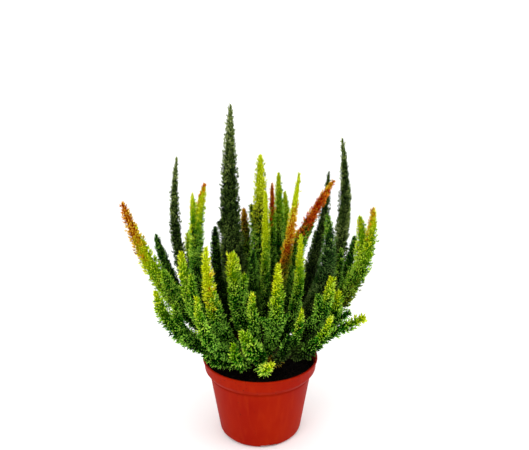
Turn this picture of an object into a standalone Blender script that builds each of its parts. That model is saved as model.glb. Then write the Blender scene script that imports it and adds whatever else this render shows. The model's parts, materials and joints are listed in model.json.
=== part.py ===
"""A young potted heather: a growers' pot, the peat in it, a woody crown and its leafy shoots.

The pot stands on z = 0 with the middle of its underside at the origin. +X is to the right and -Y to
the front. Sizes are written in millimetres, and MM turns them into metres.
"""

import math
import random

import bmesh
import bpy
from mathutils import Vector, noise

MM = 0.001

# Pot: a thin moulded cup, 105 mm across its rim
POT_HEIGHT = 72.0
RIM_RADIUS = 52.5
BAND_FOOT = (51.4, 62.0)
STEP_FOOT = (46.9, 56.4)
WALL_FOOT = (38.6, 6.0)
FOOT_CURVE = (37.8, 2.2)
FOOT_RADIUS = 35.6
LIP_RADIUS = 53.1
LIP_HEIGHT = 1.6
LIP_ROUND = 0.3
POT_WALL = 1.1
FLOOR = 1.6
POT_SIDES = 40

# Six drain slots under the foot, each with a raised roof and one round hole
DRAINS = 6
SLOT_WIDTH = 15.0
SLOT_HEIGHT = 2.5
SLOT_INNER_END = 24.0
SLOT_OUTER_END = 44.0
ROOF = 1.2
DRAIN_HOLE_RADIUS = 3.2
DRAIN_HOLE_PLACE = 29.5
FIRST_SLOT_DEGREES = -78.0
CUTTER_OVERRUN = 2.0

# Peat, with a plain hole for the crown
CLEARANCE = 0.3
PEAT_TOP = 64.0
PEAT_CRUMB = 1.3
PEAT_CRUMB_SPACING = 9.0
PEAT_EDGE = 0.8
PEAT_SIDES = 32
PEAT_RINGS = 5
CROWN_HOLE_RADIUS = 9.8
CROWN_HOLE_FLOOR = 57.4

# Woody crown and the bare foot of each shoot
CROWN = (0.0, 0.0, 66.0)
CROWN_RADIUS = 9.2
CROWN_HALF_HEIGHT = 8.2
SHOOT_ROOT = (0.0, 0.0, 68.0)
STEM_START = 3.0
STEM_RADII = (1.7, 1.0)
STEM_POINTS = 4

# Leafy part of a shoot: a slim core with leaf tufts raised from it in six rows
LEAF_ROWS = 6
CORE_SHARE = 0.46
TUFT_STEP = 4.9
TUFT_STEP_PER_RADIUS = 0.28
TUFT_LIFT = 0.72
TUFT_SPREAD = (0.86, 1.08)
FOOT_SHARE = 0.5
WIDEST_AT = 0.3
TAPER_SHARE = 0.6
TAPER_POWER = 0.45
TIP_RADIUS = 0.6
SIDE_SHOOT_SHARE = 0.7
SPINE_SAMPLES = 160

LEAF_COLOURS = {
    "dark": (0.035, 0.075, 0.030),
    "green": (0.110, 0.260, 0.030),
    "lime": (0.420, 0.560, 0.040),
    "orange": (0.520, 0.160, 0.030),
}

# name: colour, widest radius, bare length, knee, tip, side shoots as (share of the spine, tip)
SHOOTS = {
    # tall dark shoots behind
    "tall_left": ("dark", 10.8, 32, (-35, 20, 118), (-26, 22, 301), [(0.62, (-40, 13, 196))]),
    "tall_right": ("dark", 7.8, 42, (98, 36, 106), (75, 34, 271), [(0.66, (84, 40, 226))]),
    "dark_left": ("dark", 6.8, 38, (-98, 26, 108), (-77, 34, 254), []),
    "dark_right": ("dark", 9.8, 40, (71, 0, 106), (60, 2, 206), []),
    "dark_back": ("dark", 7.4, 42, (62, 60, 114), (68, 66, 237), []),
    # upright shoots in the middle, bright at their tips
    "lime_tall": ("lime", 9.4, 34, (0, 38, 122), (0, 38, 256), [(0.60, (-10, 43, 208))]),
    "lime_middle": ("lime", 4.8, 24, (6, 10, 112), (5, 10, 225), []),
    "red_small": ("orange", 5.2, 38, (14, 54, 121), (11, 53, 227), []),
    "green_back_a": ("green", 7.4, 46, (22, 70, 117), (18, 72, 235), []),
    "green_back_b": ("green", 7.2, 54, (32, 82, 107), (25, 88, 214), []),
    "lime_leaning": ("lime", 5.2, 28, (22, -6, 140), (34, -2, 243), []),
    "orange_leaning": ("orange", 7.2, 34, (30, 14, 183), (68, 18, 234), [(0.38, (50, 24, 192))]),
    "green_left": ("green", 7.6, 40, (-80, 0, 106), (-48, 4, 233), [(0.55, (-59, 0, 225))]),
    "brown_back": ("orange", 8.4, 42, (-12, 60, 103), (-17, 62, 201), []),
    "middle_back": ("green", 6.0, 22, (-8, -4, 109), (-6, -2, 174), []),
    # fan to the left
    "far_left": ("orange", 9.4, 38, (-90, 0, 104), (-119, -8, 219),
        [(0.50, (-83, -20, 160))]),
    "left_a": ("lime", 7.2, 40, (-63, -35, 101), (-65, -34, 182), [(0.60, (-56, -41, 164))]),
    "left_low": ("green", 8.8, 38, (-85, -24, 87), (-88, -31, 147),
        [(0.52, (-72, -30, 136)), (0.46, (-62, -42, 104))]),
    "left_front": ("lime", 6.8, 32, (-47, -38, 98), (-44, -34, 186), [(0.45, (-38, -48, 118))]),
    "left_inner": ("green", 6.0, 40, (-50, -57, 88), (-50, -54, 150), [(0.52, (-37, -62, 106))]),
    # front
    "broad": ("green", 8.4, 26, (-20, -20, 105), (-24, -22, 178),
        [(0.58, (-12, -23, 158)), (0.44, (-5, -23, 142))]),
    "front_small": ("green", 5.4, 26, (-7, -34, 97), (-6, -36, 147), []),
    "lime_centre": ("lime", 7.0, 24, (16, -38, 94), (15, -36, 172),
        [(0.50, (24, -42, 128)), (0.45, (0, -45, 126))]),
    "lime_right": ("lime", 5.2, 28, (39, -20, 98), (34, -22, 193), []),
    "right_small": ("lime", 4.8, 32, (33, -46, 89), (35, -44, 135), []),
    "low_left_a": ("green", 8.2, 26, (2, -42, 84), (-16, -54, 120), []),
    "low_left_b": ("green", 6.0, 26, (-23, -46, 74), (-22, -49, 107), []),
    "low_left_c": ("green", 5.6, 24, (-36, -34, 74), (-50, -38, 90), []),
    "low_front": ("lime", 5.4, 34, (-2, -50, 73), (12, -56, 93), []),
    "low_right": ("green", 5.4, 30, (20, -52, 81), (24, -50, 115), []),
    # fan to the right
    "right_a": ("lime", 6.8, 36, (57, -34, 100), (60, -34, 160), [(0.60, (48, -39, 145))]),
    "right_b": ("lime", 7.0, 40, (72, -16, 90), (68, -18, 142), [(0.56, (80, -24, 124))]),
    "right_c": ("green", 6.4, 44, (54, -55, 92), (58, -53, 133), [(0.62, (69, -48, 119))]),
    "right_twig": ("green", 6.6, 48, (75, 4, 94), (99, 2, 109), []),
    "far_right": ("orange", 9.0, 46, (104, 6, 115), (99, -2, 213),
        [(0.66, (88, 5, 204)), (0.52, (85, -12, 158))]),
    "right_middle": ("green", 5.2, 46, (78, 17, 101), (75, 18, 171), []),
    # rear half of the bush
    "rear_a": ("green", 8.4, 38, (-68, 56, 92), (-74, 62, 176), [(0.60, (-60, 68, 148))]),
    "rear_b": ("green", 8.6, 38, (-34, 76, 84), (-40, 84, 160), [(0.58, (-27, 92, 128))]),
    "rear_c": ("lime", 9.0, 38, (0, 82, 92), (2, 96, 184), [(0.58, (-13, 98, 146))]),
    "rear_d": ("green", 9.0, 38, (36, 80, 88), (40, 92, 172), [(0.58, (24, 100, 134))]),
    "rear_e": ("lime", 8.6, 42, (86, 50, 90), (95, 60, 173), [(0.60, (82, 70, 144))]),
    "rear_f": ("green", 8.0, 38, (-78, 24, 84), (-99, 28, 182), [(0.60, (-88, 40, 130))]),
    "rear_g": ("green", 8.4, 32, (-46, 34, 94), (-43, 36, 188), []),
    "rear_h": ("green", 8.6, 42, (58, 68, 92), (58, 78, 174), []),
}


def clear_scene():
    for obj in list(bpy.data.objects):
        bpy.data.objects.remove(obj, do_unlink=True)


def new_collection(name):
    collection = bpy.data.collections.new(name)
    bpy.context.scene.collection.children.link(collection)
    return collection


def new_material(name, colour, roughness):
    material = bpy.data.materials.new(name)
    material.use_nodes = True
    shader = material.node_tree.nodes["Principled BSDF"]
    shader.inputs["Base Color"].default_value = (*colour, 1.0)
    shader.inputs["Roughness"].default_value = roughness
    shader.inputs["Metallic"].default_value = 0.0
    return material


def add_object(name, data, collection, material=None):
    obj = bpy.data.objects.new(name, data)
    collection.objects.link(obj)
    if material:
        data.materials.append(material)
    return obj


def add_cutter(name, data, collection):
    cutter = add_object(name, data, collection)
    cutter.hide_render = True
    cutter.display_type = "WIRE"
    return cutter


def mesh_from(name, bm):
    mesh = bpy.data.meshes.new(name)
    bm.to_mesh(mesh)
    bm.free()
    return mesh


def applied(obj):
    """Puts the object's modifiers into its mesh."""
    graph = bpy.context.evaluated_depsgraph_get()
    mesh = bpy.data.meshes.new_from_object(obj.evaluated_get(graph))
    obj.modifiers.clear()
    old = obj.data
    obj.data = mesh
    bpy.data.meshes.remove(old)


def boolean(obj, operation, others, solver="EXACT"):
    """Joins to obj, or cuts from it, every object of a collection."""
    modifier = obj.modifiers.new(operation.title(), "BOOLEAN")
    modifier.operation = operation
    modifier.solver = solver
    modifier.operand_type = "COLLECTION"
    modifier.collection = others


def join_all(obj, others, solver="EXACT"):
    """Fuses a collection's objects to obj for good, and removes them."""
    boolean(obj, "UNION", others, solver)
    applied(obj)
    for other in list(others.objects):
        bpy.data.objects.remove(other, do_unlink=True)
    bpy.data.collections.remove(others)


def cutters_for(name, cutters):
    """A collection of cutters inside the one that holds them all."""
    collection = bpy.data.collections.new(name)
    cutters.children.link(collection)
    return collection


def turned(name, profile, sides, collection, material):
    """A solid of revolution about Z; the profile of (radius, height) runs down its outer side."""
    mesh = bpy.data.meshes.new(name)
    points = [(radius * MM, 0.0, height * MM) for radius, height in profile]
    closed = profile[0][0] > 0
    edges = [(i, (i + 1) % len(points)) for i in range(len(points) - (0 if closed else 1))]
    mesh.from_pydata(points, edges, [])
    obj = add_object(name, mesh, collection, material)
    screw = obj.modifiers.new("Turn", "SCREW")
    screw.steps = sides
    screw.render_steps = sides
    screw.use_merge_vertices = True
    screw.merge_threshold = 0.00001
    return obj


def box(low, high, turn=0.0):
    """A box mesh between two corners, turned about Z."""
    bm = bmesh.new()
    bmesh.ops.create_cube(bm, size=1.0)
    size = Vector(high) - Vector(low)
    middle = (Vector(high) + Vector(low)) / 2
    bmesh.ops.scale(bm, vec=size * MM, verts=bm.verts)
    bmesh.ops.translate(bm, vec=middle * MM, verts=bm.verts)
    spin(bm, turn)
    return mesh_from("box", bm)


def cylinder(radius, low, high, place=0.0, turn=0.0, sides=8):
    """An upright cylinder mesh at a distance from Z, turned about Z."""
    bm = bmesh.new()
    depth = (high - low) * MM
    bmesh.ops.create_cone(
        bm, cap_ends=True, segments=sides, radius1=radius * MM, radius2=radius * MM, depth=depth
    )
    bmesh.ops.translate(bm, vec=(place * MM, 0.0, (low + high) / 2 * MM), verts=bm.verts)
    spin(bm, turn)
    return mesh_from("cylinder", bm)


def spin(bm, turn):
    cos_turn = math.cos(turn)
    sin_turn = math.sin(turn)
    for vert in bm.verts:
        x, y, z = vert.co
        vert.co = (x * cos_turn - y * sin_turn, x * sin_turn + y * cos_turn, z)


def pot_outside():
    """(radius, height) down the outside, from under the lip to the foot."""
    return [
        (RIM_RADIUS, POT_HEIGHT - LIP_HEIGHT),
        BAND_FOOT,
        STEP_FOOT,
        WALL_FOOT,
        FOOT_CURVE,
        (FOOT_RADIUS, 0.0),
    ]


def inside_radius(height):
    """The pot's inner radius at a height, one wall in from its outside."""
    outside = pot_outside()
    for (upper_radius, upper), (lower_radius, lower) in zip(outside, outside[1:]):
        if lower <= height <= upper:
            share = (height - lower) / (upper - lower)
            return lower_radius + share * (upper_radius - lower_radius) - POT_WALL
    return RIM_RADIUS - POT_WALL


def drain_turn(index):
    """The first slot is a little right of the front."""
    return math.radians(FIRST_SLOT_DEGREES) + index * math.tau / DRAINS


def build_pot(parts, cutters, material):
    lip = [
        (RIM_RADIUS - POT_WALL, POT_HEIGHT),
        (LIP_RADIUS - LIP_ROUND, POT_HEIGHT),
        (LIP_RADIUS, POT_HEIGHT - LIP_ROUND),
        (LIP_RADIUS, POT_HEIGHT - LIP_HEIGHT + LIP_ROUND),
    ]
    inner_heights = [FOOT_CURVE[1] + POT_WALL, WALL_FOOT[1], STEP_FOOT[1], BAND_FOOT[1]]
    inside = [(inside_radius(height), height) for height in inner_heights]
    floor = [(0.0, 0.0), (0.0, FLOOR), (FOOT_RADIUS - POT_WALL, FLOOR)]
    profile = lip + pot_outside() + floor + inside
    pot = turned("pot", profile, POT_SIDES, parts, material)

    # A roof over each slot stands up inside, and the slot and its hole are cut from below
    roofs = new_collection("drain roofs")
    for index in range(DRAINS):
        turn = drain_turn(index)
        roof_high = SLOT_HEIGHT + ROOF
        low = (SLOT_INNER_END - ROOF, -SLOT_WIDTH / 2 - ROOF, FLOOR / 2)
        high = (inside_radius(roof_high) - POT_WALL / 2, SLOT_WIDTH / 2 + ROOF, roof_high)
        add_cutter(f"drain roof {index}", box(low, high, turn), roofs)
    join_all(pot, roofs)

    slots = cutters_for("drain cutters", cutters)
    for index in range(DRAINS):
        turn = drain_turn(index)
        low = (SLOT_INNER_END, -SLOT_WIDTH / 2, -CUTTER_OVERRUN)
        high = (SLOT_OUTER_END, SLOT_WIDTH / 2, SLOT_HEIGHT)
        add_cutter(f"drain slot {index}", box(low, high, turn), slots)
        hole_top = SLOT_HEIGHT + ROOF + CUTTER_OVERRUN
        hole = cylinder(DRAIN_HOLE_RADIUS, SLOT_HEIGHT / 2, hole_top, DRAIN_HOLE_PLACE, turn)
        add_cutter(f"drain hole {index}", hole, slots)
    boolean(pot, "DIFFERENCE", slots)
    return pot


def build_peat(parts, cutters, material):
    """Fills the pot up to 8 mm under its rim, with a crumbly top."""
    wall_heights = [PEAT_TOP - PEAT_EDGE, BAND_FOOT[1], STEP_FOOT[1], WALL_FOOT[1]]
    wall = [(inside_radius(height) - CLEARANCE, height) for height in wall_heights]
    top_edge = wall[0][0] - PEAT_EDGE
    top = [(top_edge * ring / PEAT_RINGS, PEAT_TOP) for ring in range(PEAT_RINGS + 1)]
    bottom = FLOOR + CLEARANCE
    foot = (FOOT_RADIUS - POT_WALL - CLEARANCE, bottom)
    profile = top + wall + [foot, (0.0, bottom)]
    peat = turned("peat", profile, PEAT_SIDES, parts, material)
    applied(peat)
    for vert in peat.data.vertices:
        radius = math.hypot(vert.co.x, vert.co.y) / MM
        on_top = vert.co.z > (PEAT_TOP - PEAT_EDGE / 2) * MM
        if on_top and CROWN_HOLE_RADIUS < radius < top_edge - PEAT_EDGE:
            vert.co.z += PEAT_CRUMB * MM * noise.noise(vert.co / (PEAT_CRUMB_SPACING * MM))

    recesses = cutters_for("peat cutters", cutters)
    hole_top = PEAT_TOP + PEAT_CRUMB + CUTTER_OVERRUN
    hole = cylinder(CROWN_HOLE_RADIUS, CROWN_HOLE_FLOOR, hole_top, sides=20)
    add_cutter("crown hole", hole, recesses)
    for index in range(DRAINS):
        room = ROOF + CLEARANCE
        low = (SLOT_INNER_END - room, -SLOT_WIDTH / 2 - room, -CUTTER_OVERRUN)
        high = (SLOT_OUTER_END, SLOT_WIDTH / 2 + room, SLOT_HEIGHT + room)
        add_cutter(f"roof recess {index}", box(low, high, drain_turn(index)), recesses)
    boolean(peat, "DIFFERENCE", recesses)
    return peat


def curve_between(start, knee, end):
    """Points of the curve that leaves start towards knee and comes to end from knee."""
    start, knee, end = Vector(start), Vector(knee), Vector(end)
    points = []
    for i in range(SPINE_SAMPLES + 1):
        t = i / SPINE_SAMPLES
        points.append((1 - t) ** 2 * start + 2 * t * (1 - t) * knee + t**2 * end)
    return points


def lengths_along(points):
    lengths = [0.0]
    for one, other in zip(points, points[1:]):
        lengths.append(lengths[-1] + (other - one).length)
    return lengths


def point_at(points, lengths, length):
    """The point at a length along the curve."""
    for i in range(1, len(points)):
        if lengths[i] >= length:
            share = (length - lengths[i - 1]) / (lengths[i] - lengths[i - 1])
            return points[i - 1].lerp(points[i], share)
    return points[-1]


def evenly(points, start, end, count):
    """count points, evenly spaced between two lengths along the curve."""
    lengths = lengths_along(points)
    steps = [start + (end - start) * i / (count - 1) for i in range(count)]
    return [point_at(points, lengths, step) for step in steps]


def tube(name, points, radii, bevel_resolution, collection):
    """A closed tube along the points, as a mesh object with its caps welded."""
    curve = bpy.data.curves.new(name, "CURVE")
    curve.dimensions = "3D"
    curve.bevel_depth = MM
    curve.bevel_resolution = bevel_resolution
    curve.use_fill_caps = True
    spline = curve.splines.new("POLY")
    spline.points.add(len(points) - 1)
    for knot, point, radius in zip(spline.points, points, radii):
        knot.co = (*(point * MM), 1.0)
        knot.radius = radius
    guide = add_object(name, curve, collection)
    graph = bpy.context.evaluated_depsgraph_get()
    mesh = bpy.data.meshes.new_from_object(guide.evaluated_get(graph))
    place = guide.matrix_world.copy()
    bpy.data.objects.remove(guide, do_unlink=True)
    obj = add_object(name, mesh, collection)
    obj.matrix_world = place
    return obj


def weld(obj):
    bm = bmesh.new()
    bm.from_mesh(obj.data)
    bmesh.ops.remove_doubles(bm, verts=bm.verts, dist=0.000005)
    bmesh.ops.recalc_face_normals(bm, faces=bm.faces)
    bm.to_mesh(obj.data)
    bm.free()


def leafy_radius(share, radius):
    """Widens from the foot, stays even, and then rounds off to a blunt point at the tip."""
    if share < WIDEST_AT:
        return radius * (FOOT_SHARE + (1.0 - FOOT_SHARE) * share / WIDEST_AT)
    return radius * min(1.0, (1.0 - share) / TAPER_SHARE) ** TAPER_POWER


def leafy_tube(name, spine, start, radius, draw, collection):
    """A slim core along the spine with pointed leaf tufts raised from it by a formula.

    The tube has six rows of points. Every second point, in turn from ring to ring, is a tuft: it
    stays at full radius and moves up along the shoot. The points between drop back to the core.
    Each four-sided face is split between its two core points, so that a tuft is a pyramid.
    """
    length = lengths_along(spine)[-1] - start
    step = TUFT_STEP + TUFT_STEP_PER_RADIUS * radius
    rings = max(4, round(length / step) + 1)
    points = evenly(spine, start, start + length, rings)
    radii = [leafy_radius(i / (rings - 1), radius) for i in range(rings)]
    radii[0] *= CORE_SHARE
    radii[-1] = TIP_RADIUS
    obj = tube(name, points, radii, 1, collection)

    bm = bmesh.new()
    bm.from_mesh(obj.data)
    bm.verts.ensure_lookup_table()
    # The curve's two caps come first, and then the rings from start to end
    first = len(bm.verts) - LEAF_ROWS * rings
    tufts = set()
    for ring in range(1, rings - 1):
        centre = points[ring] * MM
        along = (points[ring + 1] - points[ring - 1]).normalized()
        rise = (points[ring + 1] - points[ring]).length * MM
        for row in range(LEAF_ROWS):
            vert = bm.verts[first + LEAF_ROWS * ring + row]
            out = vert.co - centre
            if (ring + row) % 2:
                vert.co = centre + out * CORE_SHARE
            else:
                spread = draw.uniform(*TUFT_SPREAD)
                vert.co = centre + out * spread + along * rise * TUFT_LIFT * spread
                tufts.add(vert)
    for face in [face for face in bm.faces if len(face.verts) == 4]:
        one, two, three, four = face.verts
        if one in tufts or three in tufts:
            bmesh.utils.face_split(face, two, four)
        else:
            bmesh.utils.face_split(face, one, three)
    bm.to_mesh(obj.data)
    bm.free()
    weld(obj)
    return obj


def build_shoot(name, row, parts, materials):
    """One leafy shoot, with its side shoots fused to it."""
    colour, radius, bare, knee, tip, side_shoots = row
    draw = random.Random(name)
    spine = curve_between(SHOOT_ROOT, knee, tip)
    shoot = leafy_tube(f"shoot_{name}", spine, bare, radius, draw, parts)
    shoot.data.materials.append(materials[colour])
    if not side_shoots:
        return
    sides = new_collection("side shoots")
    for index, (share, side_tip) in enumerate(side_shoots):
        at = round(share * SPINE_SAMPLES)
        along = (spine[at + 1] - spine[at]).normalized()
        reach = (Vector(side_tip) - spine[at]).length
        # The side shoot leaves along the main one and bends out to its own tip
        middle = (spine[at] + Vector(side_tip)) / 2
        side_knee = (middle + spine[at] + along * reach / 2) / 2
        side_spine = curve_between(spine[at], side_knee, side_tip)
        side_radius = SIDE_SHOOT_SHARE * radius
        leafy_tube(f"side shoot {index}", side_spine, 0.0, side_radius, draw, sides)
    join_all(shoot, sides, "MANIFOLD")


def build_crown(parts, material):
    """The woody base at the peat, fused with the bare foot of every shoot."""
    bm = bmesh.new()
    bmesh.ops.create_uvsphere(bm, u_segments=12, v_segments=6, radius=MM)
    size = (CROWN_RADIUS, CROWN_RADIUS, CROWN_HALF_HEIGHT)
    bmesh.ops.scale(bm, vec=size, verts=bm.verts)
    bmesh.ops.translate(bm, vec=Vector(CROWN) * MM, verts=bm.verts)
    crown = add_object("woody_crown", mesh_from("woody_crown", bm), parts, material)

    stems = new_collection("stems")
    for name, (_, _, bare, knee, tip, _) in SHOOTS.items():
        spine = curve_between(SHOOT_ROOT, knee, tip)
        points = evenly(spine, STEM_START, bare - CLEARANCE, STEM_POINTS)
        thick, thin = STEM_RADII
        radii = [thick + (thin - thick) * i / (STEM_POINTS - 1) for i in range(STEM_POINTS)]
        weld(tube(f"stem of {name}", points, radii, 0, stems))
    join_all(crown, stems, "MANIFOLD")
    return crown


def shade_round(obj, degrees):
    obj.data.shade_smooth()
    obj.data.set_sharp_from_angle(angle=math.radians(degrees))


clear_scene()
parts = new_collection("potted heather")
cutters = new_collection("cutters")
plastic = new_material("terracotta plastic", (0.42, 0.035, 0.014), 0.45)
peat_black = new_material("peat", (0.012, 0.009, 0.007), 0.95)
bark = new_material("bark", (0.110, 0.060, 0.035), 0.85)
leaves = {name: new_material(f"{name} leaves", rgb, 0.6) for name, rgb in LEAF_COLOURS.items()}

pot = build_pot(parts, cutters, plastic)
peat = build_peat(parts, cutters, peat_black)
crown = build_crown(parts, bark)
for shoot_name, shoot_row in SHOOTS.items():
    build_shoot(shoot_name, shoot_row, parts, leaves)
shade_round(crown, 40)
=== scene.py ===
"""Looks of a young potted heather: the pot, the peat, the woody crown and 44 leafy shoots.

The pot stands on z = 0, with +X to the right and -Y to the front. The studio is measured in metres.
Sizes of the pot and the plant are written in millimetres, and MM turns them into metres.
"""

import json
import math

import bmesh
import bpy
import numpy as np
from mathutils import Matrix

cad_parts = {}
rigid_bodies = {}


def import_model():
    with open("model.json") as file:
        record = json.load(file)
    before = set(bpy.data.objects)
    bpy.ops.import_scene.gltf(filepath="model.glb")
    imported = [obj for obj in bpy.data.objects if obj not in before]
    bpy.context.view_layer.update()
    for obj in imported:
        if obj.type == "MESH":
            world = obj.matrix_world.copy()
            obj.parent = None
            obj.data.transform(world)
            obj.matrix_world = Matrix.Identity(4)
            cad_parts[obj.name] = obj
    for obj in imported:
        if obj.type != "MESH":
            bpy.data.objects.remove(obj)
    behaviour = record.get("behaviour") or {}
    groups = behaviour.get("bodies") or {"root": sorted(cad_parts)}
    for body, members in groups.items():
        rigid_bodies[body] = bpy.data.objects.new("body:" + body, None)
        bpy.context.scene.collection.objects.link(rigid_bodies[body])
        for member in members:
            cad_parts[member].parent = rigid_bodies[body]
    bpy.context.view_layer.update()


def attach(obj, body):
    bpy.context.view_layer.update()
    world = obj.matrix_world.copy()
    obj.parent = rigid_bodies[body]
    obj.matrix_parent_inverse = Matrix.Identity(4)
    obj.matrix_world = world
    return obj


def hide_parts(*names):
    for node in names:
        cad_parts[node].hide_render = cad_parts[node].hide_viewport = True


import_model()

# A white table with soft light from all round. The camera looks 12 degrees down from just under the
# tip of the tallest shoot, at the photograph's angle. None of this belongs to the plant.
FRAME_PIXELS = 529.0
FOCAL_PIXELS = 510.0
SENSOR = 36.0
CAMERA_PLACE = (0.0039, -0.4406, 0.2888)
CAMERA_TILT = math.radians(78.0)
TABLE_HALF = 3.0
TABLE_COLOUR = (0.95, 0.95, 0.95, 1.0)
TABLE_ROUGHNESS = 0.9
SKY_STRENGTH = 1.3
LAMP_AIM = np.array([0.0, 0.0, 0.12])

# Each lamp's place, width and power in watts
LAMPS = {
    "front lamp": ((-0.35, -0.75, 0.85), 0.55, 2.6),
    "right lamp": ((0.80, -0.30, 0.60), 0.50, 1.4),
}

lens = bpy.data.cameras.new("camera")
lens.sensor_width = SENSOR
lens.lens = SENSOR * FOCAL_PIXELS / FRAME_PIXELS
camera = bpy.data.objects.new("camera", lens)
camera.location = CAMERA_PLACE
camera.rotation_euler = (CAMERA_TILT, 0.0, 0.0)
bpy.context.scene.collection.objects.link(camera)
bpy.context.scene.camera = camera
bpy.context.scene.view_settings.view_transform = "Standard"

sky = bpy.data.worlds.new("white room")
sky.use_nodes = True
sky.node_tree.nodes["Background"].inputs["Color"].default_value = (1.0, 1.0, 1.0, 1.0)
sky.node_tree.nodes["Background"].inputs["Strength"].default_value = SKY_STRENGTH
bpy.context.scene.world = sky

for lamp_name, (lamp_place, lamp_size, lamp_power) in LAMPS.items():
    lamp_data = bpy.data.lights.new(lamp_name, "AREA")
    lamp_data.size = lamp_size
    lamp_data.energy = lamp_power
    lamp = bpy.data.objects.new(lamp_name, lamp_data)
    lamp.location = lamp_place
    away = np.array(lamp_place) - LAMP_AIM
    tilt = math.atan2(math.hypot(away[0], away[1]), away[2])
    lamp.rotation_euler = (tilt, 0.0, math.atan2(away[0], -away[1]))
    bpy.context.scene.collection.objects.link(lamp)

table_mesh = bpy.data.meshes.new("table")
table_corners = [(x * TABLE_HALF, y * TABLE_HALF, 0.0) for x, y in ((-1, -1), (1, -1), (1, 1), (-1, 1))]
table_mesh.from_pydata(table_corners, [], [(0, 1, 2, 3)])
table_top = bpy.data.objects.new("table", table_mesh)
bpy.context.scene.collection.objects.link(table_top)
table_white = bpy.data.materials.new("table white")
table_white.use_nodes = True
table_shader = table_white.node_tree.nodes["Principled BSDF"]
table_shader.inputs["Base Color"].default_value = TABLE_COLOUR
table_shader.inputs["Roughness"].default_value = TABLE_ROUGHNESS
table_mesh.materials.append(table_white)


# The pot: a growers' pot moulded in one piece from thin terracotta-coloured plastic, with a stepped
# band under its rim and six drain slots in its foot. It has a soft sheen and a few specks of peat.
MM = 0.001
POT_HEIGHT = 72.0
RIM_RADIUS = 52.5
LIP_RADIUS = 53.1
LIP_HEIGHT = 1.6

# Corners of the outside, as (radius, height)
BAND_FOOT = (51.4, 62.0)
STEP_FOOT = (46.9, 56.4)
WALL_FOOT = (38.6, 6.0)
FOOT_CURVE = (37.8, 2.2)

FOOT_RADIUS = 35.6
POT_WALL = 1.1
POT_FLOOR = 3.7
POT_SIDES = 144
CORNER_STEPS = 4
SHARP_ANGLE = math.radians(35)
DRAINS = 6
SLOT_WIDTH = 15.0
SLOT_HEIGHT = 2.5
SLOT_ENDS = (24.0, 44.0)
DRAIN_HOLE_RADIUS = 3.2
DRAIN_HOLE_PLACE = 29.5
DRAIN_HOLE_SIDES = 24
FIRST_SLOT_DEGREES = -78.0

# Heights between which the specks of peat get denser, and the line of painted shade under the band's step
SPECK_HEIGHTS = (50.0, 71.0)
SHADE_LINE_HEIGHT = 56.6
SHADE_LINE_FADE = (0.5, 2.0)


class Wire:
    """One output of a material's nodes. Arithmetic on it adds the Math nodes."""

    def __init__(self, finish, socket):
        self.finish = finish
        self.socket = socket

    def maths(self, operation, one, other):
        return self.finish.node("ShaderNodeMath", {"operation": operation}, {0: one, 1: other})

    def __add__(self, other):
        return self.maths("ADD", self, other)

    def __radd__(self, other):
        return self.maths("ADD", other, self)

    def __sub__(self, other):
        return self.maths("SUBTRACT", self, other)

    def __rsub__(self, other):
        return self.maths("SUBTRACT", other, self)

    def __mul__(self, other):
        return self.maths("MULTIPLY", self, other)

    def __rmul__(self, other):
        return self.maths("MULTIPLY", other, self)


class Finish:
    """A material made of nodes round one Principled shader, whose fixed values come by name."""

    def __init__(self, name, fixed):
        self.material = bpy.data.materials.new(name)
        self.material.use_nodes = True
        self.tree = self.material.node_tree
        self.shader = self.tree.nodes["Principled BSDF"]
        for socket, value in fixed.items():
            self.shader.inputs[socket].default_value = value

    def node(self, kind, settings, values, output=0):
        """Adds a node: its settings first, then the values or links of its sockets."""
        made = self.tree.nodes.new(kind)
        for key, value in settings.items():
            if key == "stops":
                self.set_stops(made.color_ramp.elements, value)
            else:
                setattr(made, key, value)
        for key, value in values.items():
            self.connect(value, made.inputs[key])
        return Wire(self, made.outputs[output])

    def set_stops(self, elements, stops):
        """The ramp's own two ends take the first and last stop, and new stops go between."""
        for element, (place, colour) in zip((elements[0], elements[-1]), (stops[0], stops[-1])):
            element.position = place
            element.color = (*colour, 1.0)
        for place, colour in stops[1:-1]:
            elements.new(place).color = (*colour, 1.0)

    def connect(self, value, socket):
        if isinstance(value, Wire):
            self.tree.links.new(value.socket, socket)
        elif socket.type == "RGBA" and len(value) == 3:
            socket.default_value = (*value, 1.0)
        else:
            socket.default_value = value

    def surface(self, socket, value):
        self.connect(value, self.shader.inputs[socket])

    def place(self, scale):
        """The point on the piece, in metres, stretched by a scale for each axis."""
        point = self.node("ShaderNodeTexCoord", {}, {}, "Object")
        return self.node("ShaderNodeMapping", {}, {"Vector": point, "Scale": scale})

    def noise(self, where, scale, detail=2.0):
        return self.node("ShaderNodeTexNoise", {}, {"Vector": where, "Scale": scale, "Detail": detail})

    def between(self, value, low, high):
        """0 under low, 1 over high, and even between them."""
        ends = {"Value": value, "From Min": low, "From Max": high}
        return self.node("ShaderNodeMapRange", {"clamp": True}, ends)

    def mix(self, factor, one, other):
        """Blends two colours. A Mix node has them at sockets 6 and 7, and their blend at output 2."""
        values = {0: factor, 6: one, 7: other}
        return self.node("ShaderNodeMix", {"data_type": "RGBA"}, values, 2)

    def axis(self, where, name):
        """One coordinate of a point: X, Y or Z."""
        return self.node("ShaderNodeSeparateXYZ", {}, {0: where}, name)

    def bump(self, height, strength, distance):
        """Tilts the surface by a pattern of heights that is a distance deep, in metres."""
        values = {"Strength": strength, "Distance": distance, "Height": height}
        self.surface("Normal", self.node("ShaderNodeBump", {}, values))


def shade(red, green, blue):
    """A colour as it looks on a screen, 0 to 255, turned into the light that a surface sends back."""
    share = np.array([red, green, blue]) / 255.0
    return tuple(np.where(share > 0.04045, ((share + 0.055) / 1.055) ** 2.4, share / 12.92).tolist())


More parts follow.
